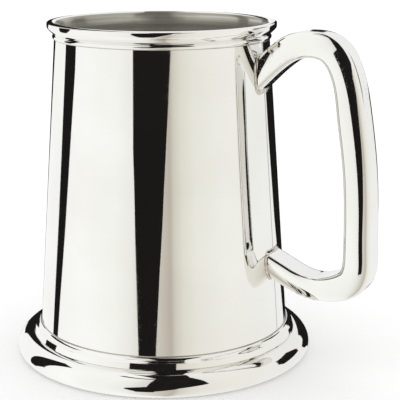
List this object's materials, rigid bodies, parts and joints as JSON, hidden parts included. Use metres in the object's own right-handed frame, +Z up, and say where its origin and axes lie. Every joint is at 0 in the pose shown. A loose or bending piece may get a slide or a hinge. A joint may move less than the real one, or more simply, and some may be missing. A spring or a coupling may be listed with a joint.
{
  "type": "tankard",
  "caption": "Tapered metal drinking tankard with a flared lip, a wide rounded foot and a hollow D-shaped side handle.",
  "frame": {"origin": "centre of the foot's rest ring, where the drum's axis meets the table", "axes": "+Z up along the drum's axis, +X from the axis towards the handle, +Y to the left when looking along +X"},
  "size_m": [0.1366, 0.1096, 0.1225],
  "materials": {
    "polished_pewter": "mirror polished, with fine wiping marks",
    "satin_pewter": "satin, turned",
    "solder": "dull, slightly browned"
  },
  "bodies": {
    "root": {"drum": "polished_pewter", "drum_seam": "solder", "base_disc": "satin_pewter", "base_solder": "solder", "lip_moulding": "polished_pewter", "lip_solder": "solder", "foot_moulding": "polished_pewter", "foot_solder": "solder", "handle": "polished_pewter", "handle_upper_solder": "solder", "handle_lower_solder": "solder"}
  },
  "joints": []
}
